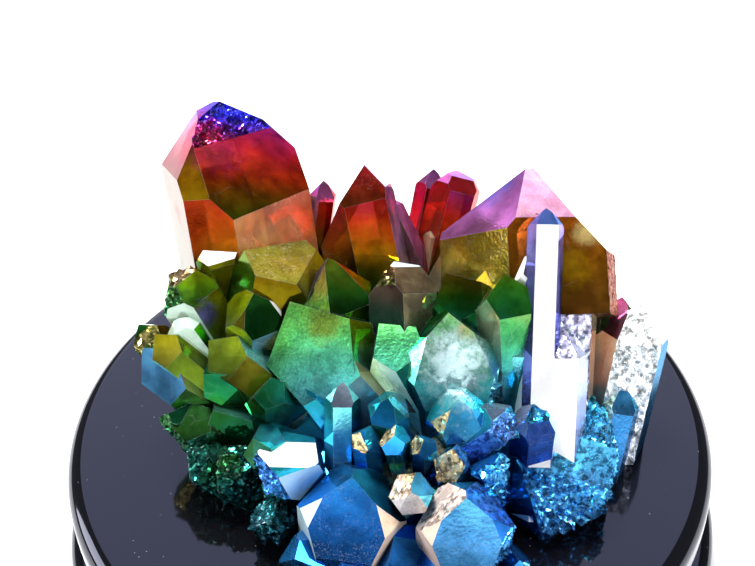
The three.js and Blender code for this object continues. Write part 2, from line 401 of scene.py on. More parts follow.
def crystal_faces(name, labels):
    """One crystal's faces, such as "t0 s5" for tip face 0 and side face 5."""
    place, lean, toward, turn, width, length = crystals[name]
    point = over_plate(place)
    level = Vector((-math.sin(math.radians(toward)), math.cos(math.radians(toward)), 0))
    lean_over = Matrix.Rotation(math.radians(lean), 3, level)
    turn_about = Matrix.Rotation(math.radians(turn + to_the_front), 3, "Z")
    foot = point - lean_over @ Vector((0, 0, length * MM))
    found = []
    for label in labels.split():
        angle = math.radians(side_turn * int(label[1]))
        steep = tip_slope if label[0] == "t" else math.pi / 2
        out = Vector((math.cos(angle) * math.sin(steep), math.sin(angle) * math.sin(steep),
                      math.cos(steep)))
        normal = lean_over @ turn_about @ out
        found += [face.index for face in cluster.data.polygons
                  if face.normal.angle(normal, math.pi) < tolerance
                  and off_line(face.center, point, foot) < width * MM]
    return found


def faces_near(start, end, reach, facing=None, spread=40):
    """The faces within reach of a line over the plate, and facing roughly one way if given."""
    start, end = over_plate(start), over_plate(end)
    return [face.index for face in cluster.data.polygons
            if off_line(face.center, start, end) < reach * MM
            and (not facing
                 or face.normal.angle(Vector(facing), math.pi) < math.radians(spread))]


# %% [markdown]
# ### A broken point
# The tallest crystal has lost its point. A knife would need a window, so a plane cuts its tip
# faces in two instead, and the part above the cut can be turned into a rough crust. Some other
# faces are cut too, such as the blade's sides, so that each part can be painted on its own.

# %% Part the broken point from the smooth faces
def part_faces(faces, place, normal):
    """Cuts these faces in two along a plane, and leaves both halves where they are."""
    only(cluster)
    deselect_mesh("FACE")
    for number in faces:
        cluster.data.polygons[number].select = True
    bpy.ops.object.mode_set(mode="EDIT")
    bpy.ops.mesh.bisect(plane_co=over_plate(place), plane_no=normal)
    bpy.ops.object.mode_set(mode="OBJECT")


front, right, up = (0, -1, 0), (1, 0, 0), (0, 0, 1)
strip_front, strip_back = -26, -20
cap_foot, cap_up = (-26, 19, 51), Vector((-0.75, 1, 0.8))
part_faces(crystal_faces("tall_left", "t1"), cap_foot, cap_up)
part_faces(crystal_faces("white_blade", "s1 s5"), (26, -12, 28), up)
part_faces(crystal_faces("bright_teal", "t0"), (10, -18, 26), up)
part_faces(crystal_faces("etched_foot", "s0"), (31, -2, 34), right)
part_faces(crystal_faces("mirror_top", "t3"), (-17, strip_front, 19), front)
part_faces(crystal_faces("mirror_top", "t3"), (-17, strip_back, 19), front)
print("crystal faces now:", len(cluster.data.polygons))

# %% [markdown]
# ### Each face's own character
# Every face draws a chance number. From it come a small shift along the rainbow and, on some of
# the faces that look up, a painted pale reflection of the sky. Faces that stand out are painted
# one by one after that. Their tints are partly the film's own colour and partly painted light:
# white and near-white for glare, and dark ones on faces that mirror the dim room.
# A material for each face would do the same, but hundreds of them could not be tended, so the
# characters are kept as attributes of the faces, which one material reads.

# %% Draw each face's character
seed = 7
draw = random.Random(seed)
up_facing = 0.8
shift_range = 7
reflection_from, reflection_gain = 0.7, 1.6
layers = cluster.data.attributes
for name in ("shift", "sky_reflection", "chance", "frost", "sparkle", "crust"):
    layers.new(name, "FLOAT", "FACE")
layers.new("tint", "FLOAT_COLOR", "FACE")
layers.new("middle", "FLOAT_VECTOR", "FACE")
for face in cluster.data.polygons:
    number = face.index
    chance = draw.random()
    looks_up = max(0.0, (face.normal.z - up_facing) / (1 - up_facing))
    layers["chance"].data[number].value = chance
    layers["shift"].data[number].value = (draw.random() - 0.5) * shift_range * MM
    # Painted reflection: some faces that look up get a share of pale sky.
    layers["sky_reflection"].data[number].value = looks_up * max(0.0, reflection_gain * chance - reflection_from)
    layers["tint"].data[number].color = (0.0, 0.0, 0.0, 0.0)
    layers["middle"].data[number].vector = face.center
print("pale faces:", sum(mark.value > 0 for mark in layers["sky_reflection"].data))

# %% Colours by name
colours = {
    "white": "ffffff", "pearl": "867c84", "ice": "d4f2f8", "mint": "d8efe0", "lilac": "c4b8ec",
    "pink": "e0a0b8", "orchid": "c678c2", "periwinkle": "7c7ad8", "cobalt": "1a2cb4",
    "violet": "5a34b8", "magenta": "b41e74", "crimson": "a01434", "cerise": "b42858",
    "scarlet": "b02a10", "rust": "5a1410", "amber": "8e4a0e", "honey": "a4780e",
    "salmon": "f0a48c", "peach": "e6c4a4", "cream": "eec8a4", "gold": "e4c478",
    "yellow": "c8b414", "taupe": "86685a", "olive": "8a8a08", "bronze": "625806",
    "moss": "4c6a0a", "leaf": "2e8426", "pine": "2c4c0e", "bottle": "0c3414", "jade": "3aa860",
    "teal": "178c94", "aqua": "6cc8cc", "sky": "66b0ec", "azure": "0a78dc", "royal": "1646a8",
    "marine": "105a8c", "lagoon": "3492c8", "slate": "26323e", "sienna": "823a0c",
    "umber": "6a4a40", "ash": "6e666c",
}
print("colours:", len(colours))


# %% Paint a face
def set_character(faces, colour, strength, settings):
    """Gives faces a tint by name, and any of shift, frost, sparkle and crust, shift in mm."""
    for number in faces:
        if colour:
            layers["tint"].data[number].color = (*linear(colours[colour])[:3], strength)
            layers["sky_reflection"].data[number].value = 0.0
        for name, value in settings.items():
            layers[name].data[number].value = value * (MM if name == "shift" else 1)


def paint(crystal, labels, colour=None, strength=0.8, **settings):
    """Gives one crystal's faces a character."""
    faces = crystal_faces(crystal, labels)
    set_character(faces, colour, strength, settings)
    print(crystal, labels, "found", len(faces))


def touch(start, end, reach, facing=None, spread=40, colour=None, strength=0.8, **settings):
    """Gives the faces near a line a character."""
    faces = faces_near(start, end, reach, facing, spread)
    set_character(faces, colour, strength, settings)
    print("near", start, "found", len(faces))


# %% [markdown]
# ### The broken matrix and the left foot
# Under the crystals lies the matrix, the rock that they grew from, broken on the right into blue
# grains and dark green on the left. Its faces belong to no crystal, so they are found by their
# distance from a line and by the way they face. A crust is given by its depth in millimetres.

# %% The broken matrix and the dark left foot
touch((26, -14, 8), (20, -24, 8), 15, (0.5, -0.7, 0.4), 70, "lagoon", 0.6, chance=0.9, crust=1.5,
      sparkle=0.4, frost=0.3)
touch((-37, -12, 16), (-22, -28, 9), 9, colour="pine", strength=0.85)
touch((-37, -12, 16), (-22, -28, 9), 9, (0.4, -0.8, 0.4), 35, "bottle", 0.84)
touch((-37, -12, 16), (-22, -28, 9), 9, (-0.5, -0.3, 0.8), 25, "bronze", 0.85)
touch((-37, -17, 9), (-22, -27, 8), 8, colour="bottle", crust=0.9, sparkle=0.5, frost=0.3)

# %% [markdown]
# ### The tall crystals
# Thick red and orange crystals stand at the back, with thin pink ones between them. Bands of
# colour alone would make every side alike, so each side that differs gets its own tint over them.
# The tallest one's broken point is dark blue, with a deep crust.

# %% The tall crystals
paint("tall_left", "t1", shift=-3, chance=0.8)
paint("tall_left", "t5 s5", "ash", 0.85)
paint("tall_left", "t0", "olive", 0.6, shift=-6, chance=0.3)
paint("tall_left", "s0", "amber", 0.3, shift=5, chance=0.9)
paint("tall_left", "s1", "salmon", 0.85, chance=1.0)
cap = [n for n in crystal_faces("tall_left", "t1")
       if (cluster.data.polygons[n].center - over_plate(cap_foot)).dot(cap_up) > 0]
cap += faces_near((-31, 27, 51), (-26, 28, 53), 6, (-0.09, 0.33, 0.94), 8)
set_character(cap, "cobalt", 0.7, {"crust": 1.5, "sparkle": 0.6, "shift": 4})
paint("red_middle", "t0", "rust", 0.8, sparkle=0.3)
paint("red_middle", "s5", "rust", 0.85)
paint("red_middle", "s0", "scarlet", 0.3, chance=0.8)
paint("red_middle", "t1 s1", "lilac")
paint("pink_left", "t0", "orchid")
paint("pink_left", "t4 t5 s5", "lilac")
paint("pink_left", "s0 s1", "rust", 0.8)
paint("pink_thin", "t0", "periwinkle", 0.6)
paint("pink_thin", "t5", "orchid")
paint("pink_thin", "s5", "magenta")
paint("pink_thin", "s0", "crimson")
paint("pink_thick", "t5", "orchid", 0.7)
paint("pink_thick", "t0 s5", "crimson", 0.7)
paint("pink_thick", "t1 s0 s1", "rust", 0.7)
touch((15, 27, 36), (15, 27, 36), 3, (0.2, 0.3, 1), 40, "periwinkle")
paint("pink_slanted", "s0", "pink")
paint("pink_slanted", "t0 t1 s1", "orchid", 0.7)
paint("pink_short", "t0 t5 s0 s5", "peach")
paint("pink_right", "t0 s0", "magenta")
paint("pink_right", "t5 s5", "rust")
paint("big_right", "t5", "orchid")
paint("big_right", "t0", "pink", 0.85, sparkle=0.3)
paint("big_right", "t1", "peach", 0.5)
paint("big_right", "s5", "honey", 0.7, frost=0.3, sparkle=0.8, chance=0.3)
paint("big_right", "s0", "sienna", 0.85, chance=0.6)
paint("big_right", "s1", "sienna", 0.85, crust=0.3)
paint("big_right_foot", "t5", "amber", 0.7)
paint("big_right_foot", "t0 t1 s1", "salmon", 0.95, chance=0.8)

# %% [markdown]
# ### The white blade and the frosted right side
# A thin blade turns one bright side to the light, and the slab beside it is etched all over. Lamps
# alone would not light one side this evenly, so that side's glare is painted white, while an
# etched side gets frost and a crust that is broken up later.

# %% The white blade and the frosted right side
# Painted glare: the white faces of the blade, the wedge and the blade's foot.
paint("white_blade", "s0", "white", 1.0, crust=0, sparkle=0)
paint("white_blade", "t0 t1", "azure")
paint("white_blade", "t2 t3 t4 t5 s1 s2 s3 s4 s5", "periwinkle", 0.9, chance=0.9)
touch((26, -15, 24), (27, -19, 19), 5, (1, 0, 0.4), 70, "white", 1.0, crust=0, sparkle=0)
paint("white_wedge", "t4 s5", "white", 0.95)
paint("white_wedge", "t0", "pearl")
paint("blade_foot", "t0", "lilac", 0.85, crust=0.5, frost=1.0, sparkle=1.0)
paint("blade_foot", "s0", "white", 1.0, crust=0, sparkle=0)
paint("blade_foot", "t1 s1", "lilac", 0.7, crust=0, frost=0.8)
paint("blade_foot", "s5", "ice", 0.9, crust=0)
paint("etched_foot", "t0 s0", "lilac", 0.85, frost=1.0, sparkle=0.5, crust=0.5)
touch((32, -4, 30), (32, -14, 12), 3, front, 50, "umber", 0.95, frost=0.3, sparkle=0.4, crust=0)
paint("etched_foot", "s1", "peach", 0.95, chance=0.8, sparkle=0.4)
paint("frosted_slab", "t0 s0", "white", 0.9, frost=0.4, crust=1.2)
touch((43, 0, 25), (43, 0, 25), 3, up, 25, "white", 0.9, frost=0.4, crust=1.2)
paint("frosted_slab", "t1 s1", "white", 0.75, frost=0.6, crust=0)
paint("frosted_slab", "t4 t5", "magenta", 0.7)
paint("frosted_slab", "s5", "peach", 0.95, frost=1.0, sparkle=0.8, chance=0.9, crust=0)
paint("blue_prism", "t0 s0 s1", "marine", 0.85, crust=0)
paint("blue_prism", "t5 s5", "mint", 0.8, crust=0.5, sparkle=0.8)
paint("teal_right", "t0 s0 s5", "aqua", 0.6, frost=0.6)

# %% [markdown]
# ### The green middle
# Shorter crystals lean over each other here, from olive to teal. Some are dark and polished, and
# others are dull with fine growth marks, so many of these calls set frost and glitter as well.

# %% The green middle
paint("green_point", "t4", "periwinkle", 0.6)
paint("green_point", "t5", "bottle", 0.85, frost=0.3, chance=0.1)
paint("green_point", "t0", "bottle", 0.7)
paint("green_point", "s0", "olive", 0.6)
paint("grey_pink", "t1 t2 t3 t4", "slate", 0.8)
paint("grey_pink", "t5", "slate", 0.6, sparkle=1.0, crust=0.8)
paint("grey_pink", "t0", "taupe", 0.8, sparkle=0.4)
paint("grey_pink", "s5", "slate", 0.85)
paint("grey_pink", "s0", "taupe", 0.8)
touch((3, 3, 34), (3, 3, 34), 3, (0, 0.6, 0.8), 30, "ice", 0.8, frost=1.0, sparkle=0.8)
paint("dark_green", "t0", "bottle", 0.6)
paint("dark_green", "s0", "bottle", 0.4)
paint("dark_green", "s1", "honey", 0.7)
paint("bright_teal", "t1 s1", frost=0.9, sparkle=0.35)
paint("bright_teal", "t0", "jade", 0.5, chance=0.7, frost=0.9, sparkle=0.35)
touch((10, -20, 23), (10, -20, 22), 4, (0, -0.8, 0.6), 30, "teal", 0.7, chance=0.8, frost=0.5)
paint("bright_teal", "t5", "jade", 0.5, frost=0.5)
paint("green_right", "t0", "leaf", 0.5)
paint("green_right", "t4", "olive", 0.7)
paint("green_right", "s5", "peach", 0.6)
paint("green_right", "s0", "jade", 0.6, chance=0.4, frost=0.5)
paint("green_broad", "t0", "leaf", 0.55, chance=0.8, frost=0.8, sparkle=0.2)
paint("green_broad", "s1", "olive", 0.4)
paint("green_low", "t0", "jade", 0.5, chance=0.8, frost=0.7, sparkle=0.4)
paint("green_low", "s1", "gold", 0.6)
paint("green_low", "s0", "pearl", 0.6, chance=0.9)
paint("pale_facet", "t0", "jade", 0.45, chance=0.8, frost=0.8)
paint("pale_facet", "s0", "bottle", 0.8)
paint("pale_facet", "s5", "mint", 0.7, chance=0.9, frost=0.8, sparkle=0.9)

# %% [markdown]
# ### The olive left
# Small crystals fan out over the rim, olive and honey, with a few that mirror the light: their
# reflections are painted as strong tints, nearly white or sky blue, that cover the film's own
# colour.

# %% The olive left
paint("olive_left", "t1", "honey", 0.6, frost=0.3, sparkle=0.5)
paint("olive_left", "s0 s1", "honey", 0.6)
paint("olive_left", "t5", "moss", 0.7)
paint("olive_top", "t0 t1", "olive")
paint("olive_top", "s0 s5", "moss")
# Painted glare: the top of this small crystal is painted white.
touch((-28, 7, 35), (-28, 7, 35), 3, up, 25, "white", 0.95)
paint("olive_rim", "t0", "moss", 0.7)
paint("olive_rim", "t4 t5", "slate", 0.6, crust=1.0)
touch((-35, 4, 33), (-35, 4, 33), 4, (-0.3, 0.4, 0.9), 30, "taupe", 0.8, crust=1.0)
paint("olive_rim", "s5", "mint", 0.9)
paint("olive_rim", "s0", "olive", 0.7)
paint("mint_face", "t0 t1 t5 s0", "mint", 0.9)
paint("gold_ridge", "t0 t5 s5", "gold", 0.7, sparkle=0.5, crust=0.8)
paint("gold_ridge", "s1", "rust", 0.7)
paint("yellow_left", "t0", "yellow", 0.8)
paint("yellow_left", "s0 s1", "olive", 0.6)
paint("blue_left", "t0", "sky", 0.95, chance=0.9)
paint("blue_left", "s1", "honey", 0.6)
paint("blue_left", "s0", "moss", 0.7)
paint("green_square", "t4 s5", "olive", 0.7)
paint("green_square", "t0", "bottle", 0.85)
paint("green_square", "t1", "white", 0.95)
paint("green_square", "t5", "honey", 0.6)
paint("green_square", "s0", "sky", 0.95, chance=0.9)
paint("green_wedge", "t0", "olive", 0.6, chance=0.8, frost=0.2)
paint("green_wedge", "s0", "honey", 0.6)
paint("green_wedge", "s1", "aqua", 0.6, chance=0.8, frost=0.8, sparkle=0.4)
paint("green_wedge", "s5", "bottle", 0.85)

# %% [markdown]
# ### The blue front
# Large blue faces close the front, with strips of cream and gold between them. The tints are
# strong here, because the bands alone would give one even blue. Of the face that was cut in three
# above, only the middle is painted white, as a glare.

# %% The blue front
paint("teal_prism", "t0", "pearl")
paint("teal_prism", "s0 t1 t5", "aqua", 0.6, chance=0.7, frost=0.6)
paint("blue_peak", "t0", "azure", 0.6)
paint("blue_peak", "t2", "pearl", 0.5)
paint("dark_wedge", "t4 t2", "teal", 0.6)
paint("dark_wedge", "t0", "slate", 0.5, sparkle=0.3)
paint("mirror_top", "t3", "teal", 0.6)
# Painted glare: the middle strip of the cut face is painted white.
glare_strip = [n for n in crystal_faces("mirror_top", "t3")
                if strip_front < cluster.data.polygons[n].center.y / MM < strip_back]
set_character(glare_strip, "white", 0.95, {})
print("white strips:", len(glare_strip))
paint("mirror_top", "t5", "royal", 0.84)
paint("mirror_top", "t1 s1", "ice", 0.95)
paint("mirror_top", "t0", "azure")
paint("big_blue", "t4", "azure", 0.5)
paint("big_blue", "t0", "azure", 0.85, frost=0.1, sparkle=0.6, chance=0.7)
paint("big_blue", "t2", "teal", 0.6)
paint("big_blue", "t5 s5", "ice", 0.9)
paint("big_blue", "t1 s1", "cream", 0.95, frost=1.0, sparkle=0.5)
# Up-facing small faces in front: partly the film's gold, and partly painted glints of the lamp
# above.
touch((2, -27, 19), (11, -31, 15), 8, (-0.4, -0.3, 0.8), 40, "gold", 0.85, crust=0.35, sparkle=0.2)
paint("gold_strip", "t4", "cream", 0.9)
paint("gold_strip", "t0 t5", "gold", 0.6, frost=0.8)
paint("gold_strip", "t1 t2", "aqua", 0.6)
paint("front_face", "t4", "cream", 0.9, frost=1.0, sparkle=1.0)
paint("front_face", "t5 s5", "cream", 0.9, frost=0.8)
paint("front_face", "t0", "lagoon", 0.8, chance=0.7, frost=0.4, sparkle=0.3)
paint("front_face", "t2", "royal", 0.5)
paint("violet_rough", "t0 s0", "violet", 0.5, crust=0.8, sparkle=0.5)
paint("violet_rough", "t4 t5", "pearl", 0.7)
paint("blue_block", "t2 t4", "lilac", 0.7, crust=0)
paint("blue_block", "t0 s0 s5", "royal", 0.95, chance=0.8, crust=0)
paint("blue_block", "t1 s1", "ice", 0.7, crust=0)
paint("blue_block", "t5", "periwinkle", 0.6, crust=0)

# %% [markdown]
# ### Edges and broken places
# A crystal's edge is never perfectly sharp: a thin flat along it catches the light. Where a
# crystal is broken or etched, the smooth face turns into a crust of tiny facets. Both are
# modelled, because a bump in the material would not change the outline. A bevelled flat is told
# from a crystal face by its normal, which has turned away from the one that was noted before,
# and the material paints these flats pale as a painted highlight.

# %% Round the edges
edge_width = 0.2 * MM
sharp_from = math.radians(14)
turned_from = math.radians(4)
flat = layers.new("flat_normal", "FLOAT_VECTOR", "FACE")
for face in cluster.data.polygons:
    flat.data[face.index].vector = face.normal
only(cluster)
deselect_mesh("EDGE")
bpy.ops.object.mode_set(mode="EDIT")
bpy.ops.mesh.edges_select_sharp(sharpness=sharp_from)
bpy.ops.mesh.bevel(offset=edge_width, segments=1, affect="EDGES", clamp_overlap=True)
bpy.ops.object.mode_set(mode="OBJECT")
flat = cluster.data.attributes["flat_normal"].data
turned = [face.normal.angle(flat[face.index].vector, 1.0) > turned_from
          for face in cluster.data.polygons]
# The edge flats are marked, so that the material paints them pale as a highlight.
on_edge = cluster.data.attributes.new("edge", "FLOAT", "FACE")
rough = cluster.data.attributes["crust"].data
for number, is_turned in enumerate(turned):
    on_edge.data[number].value = 1.0 if is_turned and rough[number].value == 0 else 0.0
print("faces after rounding:", len(turned), "of them on edges:", sum(turned))


# %% Break the crust into grains
grain_size = 0.8 * MM
most_rounds = 7


def long_crust_edges():
    """Selects the edges of crusted faces that are longer than a grain, and counts them."""
    mesh = cluster.data
    points = mesh.vertices
    depth_of = mesh.attributes["crust"].data
    crusted = {key for i, face in enumerate(mesh.polygons) if depth_of[i].value > 0
               for key in face.edge_keys}
    long = 0
    for edge in mesh.edges:
        a, b = edge.vertices
        if edge.key in crusted and (points[a].co - points[b].co).length > grain_size:
            edge.select = True
            long += 1
    return long


only(cluster)
for _ in range(most_rounds):
    deselect_mesh("EDGE")
    if not long_crust_edges():
        break
    bpy.ops.object.mode_set(mode="EDIT")
    bpy.ops.mesh.subdivide(number_cuts=1)
    bpy.ops.mesh.quads_convert_to_tris()
    bpy.ops.object.mode_set(mode="OBJECT")
print("faces with grains:", len(cluster.data.polygons))

# %% Say how deep the crust is at each point
deepest = 1.6
depth_of = [mark.value for mark in cluster.data.attributes["crust"].data]
shallowest = {}
for face in cluster.data.polygons:
    for point in face.vertices:
        shallowest[point] = min(shallowest.get(point, deepest), depth_of[face.index])
group = cluster.vertex_groups.new(name="crust")
for amount in sorted({value for value in shallowest.values() if value > 0}):
    group.add([p for p, value in shallowest.items() if value == amount], amount / deepest,
              "REPLACE")
print("points in the crust:", sum(value > 0 for value in shallowest.values()))

# %% Move the grains in and out
crust_shape = bpy.data.textures.new("crust_shape", "VORONOI")
crust_shape.distance_metric = "DISTANCE_SQUARED"
crust_shape.noise_scale = 1.2 * MM
crust_shape.noise_intensity = 1.3
push = cluster.modifiers.new("crust", "DISPLACE")
push.texture = crust_shape
push.vertex_group = "crust"
push.strength = deepest * MM
push.mid_level = 0.5
bpy.ops.object.modifier_apply(modifier="crust")
bpy.ops.object.shade_flat()
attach(cluster, "root")
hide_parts("quartz_cluster")
print("cluster's highest point in mm:", round(max(p.co.z for p in cluster.data.vertices) / MM, 1))

# %% [markdown]
# ### Aura quartz
# Natural quartz, heated and coated in a vacuum with a film of titanium and gold. The quartz is
# clear, with an index of 1.54, and the film colours what passes through it and what it mirrors.
# One material reads the character of each face and some noise, so every face comes out different.
# The sizes of the noise are those of real quartz: clouds of a few millimetres, crust of about
# one, and growth marks and glitter of a few tenths, a little coarse, so that they show.

# %% What each face says
quartz, tree, shader = new_material("titanium_coated_quartz")
object_place = add_node(tree, "TexCoord").outputs["Object"]
own = {}
for name in ("shift", "sky_reflection", "chance", "frost", "sparkle", "crust", "edge"):
    own[name] = add_node(tree, "Attribute", attribute_name=name).outputs["Fac"]
own_middle = add_node(tree, "Attribute", attribute_name="middle").outputs["Vector"]
tint = add_node(tree, "Attribute", attribute_name="tint").outputs
smoothly = {"interpolation_type": "SMOOTHSTEP"}
print("faces' own numbers:", ", ".join(own))

# %% Wavers, which swing about zero
# The size of the noise's patches in millimetres, its detail and its roughness
waver_kinds = {
    "drift": (13, 2.0, 0.5),
    "mottle": (2.5, 2.0, 0.5),
    "ragged rim": (1.5, 6.0, 0.7),
    "speckle": (0.4, 3.0, 0.7),
}
waver = {}
for name, (patch, detail, roughness) in waver_kinds.items():
    noise = add_node(tree, "TexNoise", (object_place, 1 / (patch * MM), detail, roughness))
    waver[name] = add_node(tree, "Math", (noise, 0.5), operation="SUBTRACT")
print("wavers:", len(waver))

# %% Patterns, which go smoothly from one value to another
# A noise as above, then the two values of it between which the pattern goes, and from what to what
pattern_kinds = {
    "clouds": (4, 3.0, 0.6, 0.35, 0.65, 0.7, 1.3),
    "crust grains": (1.2, 5.0, 0.7, 0.4, 0.58, 0.3, 1.7),
    "flecks": (0.35, 4.0, 0.75, 0.54, 0.62, 0.0, 1.0),
    "flecked places": (3, 3.0, 0.5, 0.42, 0.58, 0.15, 1.0),
    "cracked places": (7, 2.0, 0.5, 0.52, 0.62, 0.0, 0.15),
    "veils": (5, 4.0, 0.5, 0.35, 0.65, 0.7, 0.95),
    "dull places": (9, 3.0, 0.5, 0.45, 0.6, 0.03, 0.15),
}
pattern = {}
for name, (patch, detail, roughness, low, high, start, end) in pattern_kinds.items():
    noise = add_node(tree, "TexNoise", (object_place, 1 / (patch * MM), detail, roughness))
    pattern[name] = add_node(tree, "MapRange", (noise, low, high, start, end), **smoothly)
print("patterns:", len(pattern))

# %% [markdown]
# ### The rainbow
# The film's colour follows its thickness, so it runs in bands from red at the tall tips at the
# back to blue at the foot in front. An image wrapped round hundreds of faces would show seams.
# Here each point's distance along one slanting line is looked up in a colour ramp instead. Noise
# bends the bands, and on each face they lie at a slope of its own, as on a real crystal.

# %% How far along the slanting line
band_slope = math.radians(39)
sideways, depth, height = add_node(tree, "SeparateXYZ", (object_place,)).outputs
above_plate = add_node(tree, "Math", (height, stand_top), operation="SUBTRACT")
raised = add_node(tree, "Math", (above_plate, math.cos(band_slope)), operation="MULTIPLY")
along = add_node(tree, "Math", (depth, math.sin(band_slope), raised), operation="MULTIPLY_ADD")
print("bands' slope in degrees:", round(math.degrees(band_slope)))

# %% Turn the low left side towards olive
olive_line = 25 * MM
left_from, left_to = -8 * MM, -28 * MM
left_pull = 0.62
below_olive = add_node(tree, "Math", (olive_line, along), operation="SUBTRACT")
below_olive = add_node(tree, "Math", (below_olive, 0.0), operation="MAXIMUM")
leftness = add_node(tree, "MapRange", (sideways, left_from, left_to), **smoothly)
pulled = add_node(tree, "Math", (below_olive, leftness), operation="MULTIPLY")
band = add_node(tree, "Math", (pulled, left_pull, along), operation="MULTIPLY_ADD")
print("nodes so far:", len(tree.nodes))

# %% Bend the bands, and give each face a slope and a shift of its own
drift_reach, mottle_reach = 14 * MM, 4 * MM
uphill_way = (0.2, 0.5, 0.84)
shuffle = 7.0
slope_range, slope_least = 2.4, -0.8
band = add_node(tree, "Math", (waver["drift"], drift_reach, band), operation="MULTIPLY_ADD")
band = add_node(tree, "Math", (waver["mottle"], mottle_reach, band), operation="MULTIPLY_ADD")
from_middle = add_node(tree, "VectorMath", (object_place, own_middle), operation="SUBTRACT")
uphill = add_node(tree, "VectorMath", (from_middle, uphill_way), operation="DOT_PRODUCT")
second_chance = add_node(tree, "Math", (own["chance"], shuffle), operation="MULTIPLY")
second_chance = add_node(tree, "Math", (second_chance,), operation="FRACT")
slope = add_node(tree, "Math", (second_chance, slope_range, slope_least),
                 operation="MULTIPLY_ADD")
across = add_node(tree, "Math", (uphill, slope), operation="MULTIPLY")
band = add_node(tree, "Math", (band, across), operation="ADD")
band = add_node(tree, "Math", (band, own["shift"]), operation="ADD")
print("nodes so far:", len(tree.nodes))

# %% The bands' colours
# Each colour by its distance along the slanting line in millimetres
bands = {
    -14: "2a80e4", -4: "34a0ee", 3: "34b8e6", 9: "2ebcc4", 14: "28a688", 19: "248c40",
    24: "4a8a14", 28: "948a0c", 32: "c0820c", 36: "cc600e", 41: "e03c14", 47: "d4222c",
    53: "b8246a", 60: "4434c8",
}
first, last = min(bands), max(bands)
share = add_node(tree, "MapRange", (band, first * MM, last * MM))
rainbow = add_node(tree, "ValToRGB", (share,))
stops = rainbow.color_ramp.elements
stops.remove(stops[1])
for where, colour in bands.items():
    stop = stops[0] if where == first else stops.new((where - first) / (last - first))
    stop.color = linear(colour)
print("bands:", len(stops))

# %% [markdown]
# ### Painted sky reflection, tints and spots
# Some faces that look up get a painted pale reflection of the sky, and the painted ones have
# their tint. A few round places go across faces: a spot of another colour shows there through the
# thin film, and the ice spot is a painted white glare. A round edge would look stamped, so a
# waver makes each spot ragged, and its colour fades in smoothly.

# %% Painted sky reflection and tinted faces
sky_reflection_tints = add_node(tree, "ValToRGB", (own["chance"],))
sky_reflection_tints.color_ramp.elements[0].color = linear("b8e2f4")
sky_reflection_tints.color_ramp.elements[1].color = linear("f3c9e6")
halfway = sky_reflection_tints.color_ramp.elements.new(0.5)
halfway.color = linear("d6cdf3")
film = add_node(tree, "Mix", (own["sky_reflection"], rainbow, sky_reflection_tints), data_type="RGBA")
film = add_node(tree, "Mix", (tint["Alpha"], film, tint["Color"]), data_type="RGBA")
print("nodes so far:", len(tree.nodes))

# %% Spots
# Each one's place over the plate and size, both in millimetres, and its colour
# The ice spot in the middle of the bright teal face is a painted white glare.
spots = (
    ((11, -18, 30), 7, "ice"), ((13, -14, 33), 2.5, "yellow"), ((21, 15, 38), 7, "periwinkle"),
    ((-28, 20, 47), 6, "cerise"), ((-29, -3, 29), 2.5, "periwinkle"), ((-24, 14, 31), 5, "amber"),
    ((-32, 17, 36), 4, "rust"), ((-10, -8, 31), 4, "moss"), ((30, -2, 35), 4, "honey"),
    ((33, 1, 40), 2.5, "gold"),
)
strong_tint = 0.9
raggedness, outside, inside = 1.4, 1.2, 0.3
thin_film = add_node(tree, "Math", (tint["Alpha"], strong_tint), operation="LESS_THAN")
for place, size, colour in spots:
    away = add_node(tree, "VectorMath", (object_place, over_plate(place)), operation="DISTANCE")
    away = add_node(tree, "Math", (waver["ragged rim"], raggedness * size * MM, away),
                    operation="MULTIPLY_ADD")
    share = add_node(tree, "MapRange", (away, outside * size * MM, inside * size * MM),
                     **smoothly)
    share = add_node(tree, "Math", (share, thin_film), operation="MULTIPLY")
    film = add_node(tree, "Mix", (share, film, linear(colours[colour])), data_type="RGBA")
print("spots:", len(spots))

# %% [markdown]
# ### Light and dark
# Inside a real crystal there are clouds and cracks, so no face has one even tone. Modelling them
# would take too many faces. Clouds, fine speckle and the face's own chance give that uneven tone,
# and painted light and shade are added to it: a fade from one end of the face to the other, and
# darker crevices where the neighbours shade each other. Together they make one shading. Light
# colours keep most of their light, and crust is shaded grain by grain.

# %% How light each point is
speckle_frosted, speckle_smooth = 2.0, 0.3
luck_range, luck_least = 0.7, 0.65
fade_range, fade_least = 1.6, -0.56
fade_half = 4 * MM
fade_dark, fade_light = 0.35, 1.65
crevice_reach = 7 * MM
shut_in, wide_open, darkest = 0.1, 0.65, 0.3
speckle = add_node(tree, "Math", (own["frost"], speckle_frosted, speckle_smooth),
                   operation="MULTIPLY_ADD")
speckle = add_node(tree, "Math", (waver["speckle"], speckle), operation="MULTIPLY")
patchy = add_node(tree, "Math", (pattern["clouds"], speckle), operation="ADD")
luck = add_node(tree, "Math", (own["chance"], luck_range, luck_least), operation="MULTIPLY_ADD")
patchy = add_node(tree, "Math", (patchy, luck), operation="MULTIPLY")
# Painted light: most faces are lighter at their upper back end, towards the lamps, and darker at
# the other.
painted_fade = add_node(tree, "Math", (own["chance"], fade_range, fade_least), operation="MULTIPLY_ADD")
painted_fade = add_node(tree, "Math", (uphill, painted_fade), operation="MULTIPLY")
painted_fade = add_node(tree, "MapRange", (painted_fade, -fade_half, fade_half, fade_dark, fade_light),
                **smoothly)
# Painted shade: ambient occlusion darkens the crevices between the crystals.
crevice = add_node(tree, "AmbientOcclusion", {"Distance": crevice_reach}, samples=4)
painted_shading = add_node(tree, "MapRange", (crevice.outputs["AO"], shut_in, wide_open, darkest, 1.0),
                   **smoothly)
painted_shading = add_node(tree, "Math", (painted_fade, painted_shading), operation="MULTIPLY")
shading = add_node(tree, "Math", (patchy, painted_shading), operation="MULTIPLY")
print("nodes so far:", len(tree.nodes))

